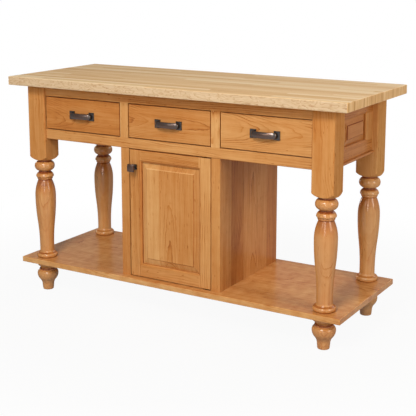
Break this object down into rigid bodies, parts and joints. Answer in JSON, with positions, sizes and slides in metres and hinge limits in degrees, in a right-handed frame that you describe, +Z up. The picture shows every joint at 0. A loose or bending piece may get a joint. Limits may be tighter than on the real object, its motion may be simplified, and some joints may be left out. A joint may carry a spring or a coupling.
{
  "type": "kitchen island",
  "caption": "Free-standing kitchen island with a butcher-block top on turned legs, drawers in the apron, a middle cabinet with a raised-panel door and an open lower shelf.",
  "frame": {"origin": "on the floor under the middle of the worktop", "axes": "+X along the worktop to the right of someone facing the drawers, +Y to the back, +Z up"},
  "size_m": [1.494, 0.58, 0.914],
  "materials": {
    "butcher_block": "oiled edge-grain maple strips",
    "turned_wood": "stained cherry, satin lacquer",
    "shelf_wood": "stained cherry plank, satin lacquer",
    "rail_wood": "stained cherry, satin lacquer",
    "stile_wood": "stained cherry, satin lacquer",
    "end_wood": "stained cherry, satin lacquer",
    "cabinet_wood": "stained cherry boards, satin lacquer",
    "door_panel_wood": "stained cherry, satin lacquer",
    "drawer_front_wood": "stained cherry, satin lacquer",
    "inner_wood": "clear-lacquered hardwood",
    "drawer_box_wood": "clear-lacquered pale hardwood",
    "bronze": "dark bronze with rubbed edges",
    "steel": "zinc-plated steel"
  },
  "bodies": {
    "island": {"butcher_block_top": "butcher_block", "leg_front_left": "turned_wood", "foot_front_left": "turned_wood", "leg_front_right": "turned_wood", "foot_front_right": "turned_wood", "leg_back_left": "turned_wood", "foot_back_left": "turned_wood", "leg_back_right": "turned_wood", "foot_back_right": "turned_wood", "lower_shelf": "shelf_wood", "front_top_rail": "rail_wood", "front_bottom_rail": "rail_wood", "back_top_rail": "rail_wood", "back_bottom_rail": "rail_wood", "back_panels": "rail_wood", "front_stiles": "stile_wood", "back_stiles": "stile_wood", "cabinet_stiles": "stile_wood", "end_apron_stiles": "stile_wood", "left_apron_top_rail": "end_wood", "left_apron_bottom_rail": "end_wood", "left_apron_panel": "end_wood", "cabinet_side_left": "cabinet_wood", "right_apron_top_rail": "end_wood", "right_apron_bottom_rail": "end_wood", "right_apron_panel": "end_wood", "cabinet_side_right": "cabinet_wood", "cabinet_back": "inner_wood", "cabinet_top": "inner_wood", "cabinet_shelf": "inner_wood", "slide_bearers": "inner_wood", "foot_hanger_bolts": "steel", "shelf_pins": "steel", "door_pivot_pins": "steel", "slide_cabinet_members": "steel"},
    "left_drawer": {"left_drawer_front": "drawer_front_wood", "left_drawer_box": "drawer_box_wood", "left_drawer_bottom": "drawer_box_wood", "left_drawer_pull": "bronze", "left_slide_drawer_members": "steel"},
    "left_slide": {"left_slide_middle_members": "steel"},
    "middle_drawer": {"middle_drawer_front": "drawer_front_wood", "middle_drawer_box": "drawer_box_wood", "middle_drawer_bottom": "drawer_box_wood", "middle_drawer_pull": "bronze", "middle_slide_drawer_members": "steel"},
    "middle_slide": {"middle_slide_middle_members": "steel"},
    "right_drawer": {"right_drawer_front": "drawer_front_wood", "right_drawer_box": "drawer_box_wood", "right_drawer_bottom": "drawer_box_wood", "right_drawer_pull": "bronze", "right_slide_drawer_members": "steel"},
    "right_slide": {"right_slide_middle_members": "steel"},
    "door": {"door_stile_left": "stile_wood", "door_stile_right": "stile_wood", "door_top_rail": "rail_wood", "door_bottom_rail": "rail_wood", "door_panel": "door_panel_wood", "door_knob": "bronze", "door_pivot_sockets": "steel"}
  },
  "joints": [
    {"name": "left_drawer_slide", "type": "slide", "parent": "island", "child": "left_drawer", "axis": [0, -1, 0], "range_m": [0, 0.36]},
    {"name": "left_middle_member_slide", "type": "slide", "parent": "island", "child": "left_slide", "axis": [0, -1, 0], "range_m": [0, 0.18]},
    {"name": "middle_drawer_slide", "type": "slide", "parent": "island", "child": "middle_drawer", "axis": [0, -1, 0], "range_m": [0, 0.36]},
    {"name": "middle_middle_member_slide", "type": "slide", "parent": "island", "child": "middle_slide", "axis": [0, -1, 0], "range_m": [0, 0.18]},
    {"name": "right_drawer_slide", "type": "slide", "parent": "island", "child": "right_drawer", "axis": [0, -1, 0], "range_m": [0, 0.36]},
    {"name": "right_middle_member_slide", "type": "slide", "parent": "island", "child": "right_slide", "axis": [0, -1, 0], "range_m": [0, 0.18]},
    {"name": "door_swing", "type": "hinge", "parent": "island", "child": "door", "pos_m": [0.174, -0.227, 0.402], "axis": [0, 0, 1], "range_deg": [0, 110]}
  ],
  "couplings": [
    {"joint": "left_middle_member_slide", "follows": "left_drawer_slide", "ratio": 0.5},
    {"joint": "middle_middle_member_slide", "follows": "middle_drawer_slide", "ratio": 0.5},
    {"joint": "right_middle_member_slide", "follows": "right_drawer_slide", "ratio": 0.5}
  ]
}
